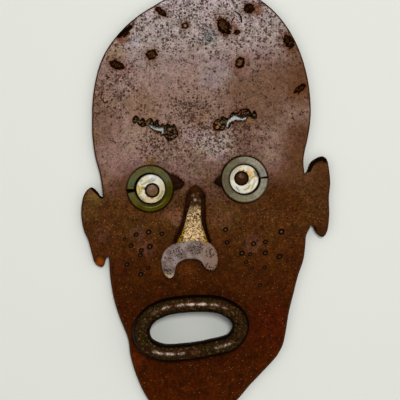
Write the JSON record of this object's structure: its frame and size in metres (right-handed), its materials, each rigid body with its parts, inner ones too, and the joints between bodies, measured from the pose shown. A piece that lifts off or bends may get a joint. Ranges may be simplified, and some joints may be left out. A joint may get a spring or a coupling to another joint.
{
  "type": "scrap metal face mask",
  "caption": "Face cut from flat steel plate with ears, slot brows, washer eyes, a wrench-end nose and a chain link round the mouth hole.",
  "frame": {"origin": "the surface that the mask's flat back lies on, under the middle of its outline", "axes": "+X to the viewer's right, +Y towards the crown, +Z out of the face"},
  "size_m": [0.1795, 0.316, 0.0176],
  "materials": {
    "rusted_plate": "mill-scaled steel sheet, lavender grey and pitted at the forehead, rust brown towards the chin, varnished",
    "olive_lock_washer": "dull olive-green plated spring steel",
    "grey_lock_washer": "dull grey-green plated spring steel",
    "whitened_washer": "crinkled cream-white coat, stained yellow and orange by rust at the hole",
    "rusted_rod": "matt brown rust with a grey cut face",
    "worn_paint_wrench": "flecked lavender-grey and cream paint worn to dark metal, rust yellow along its edges",
    "dark_chain": "pitted dark bronze-brown steel, glossy where it is rubbed"
  },
  "bodies": {
    "root": {"face_plate": "rusted_plate", "left_eye_lock_washer": "olive_lock_washer", "right_eye_lock_washer": "grey_lock_washer", "left_eye_flat_washer": "whitened_washer", "right_eye_flat_washer": "whitened_washer", "left_eye_pupil_rod": "rusted_rod", "right_eye_pupil_rod": "rusted_rod", "nose_wrench_end": "worn_paint_wrench", "mouth_chain_link": "dark_chain"}
  },
  "joints": []
}
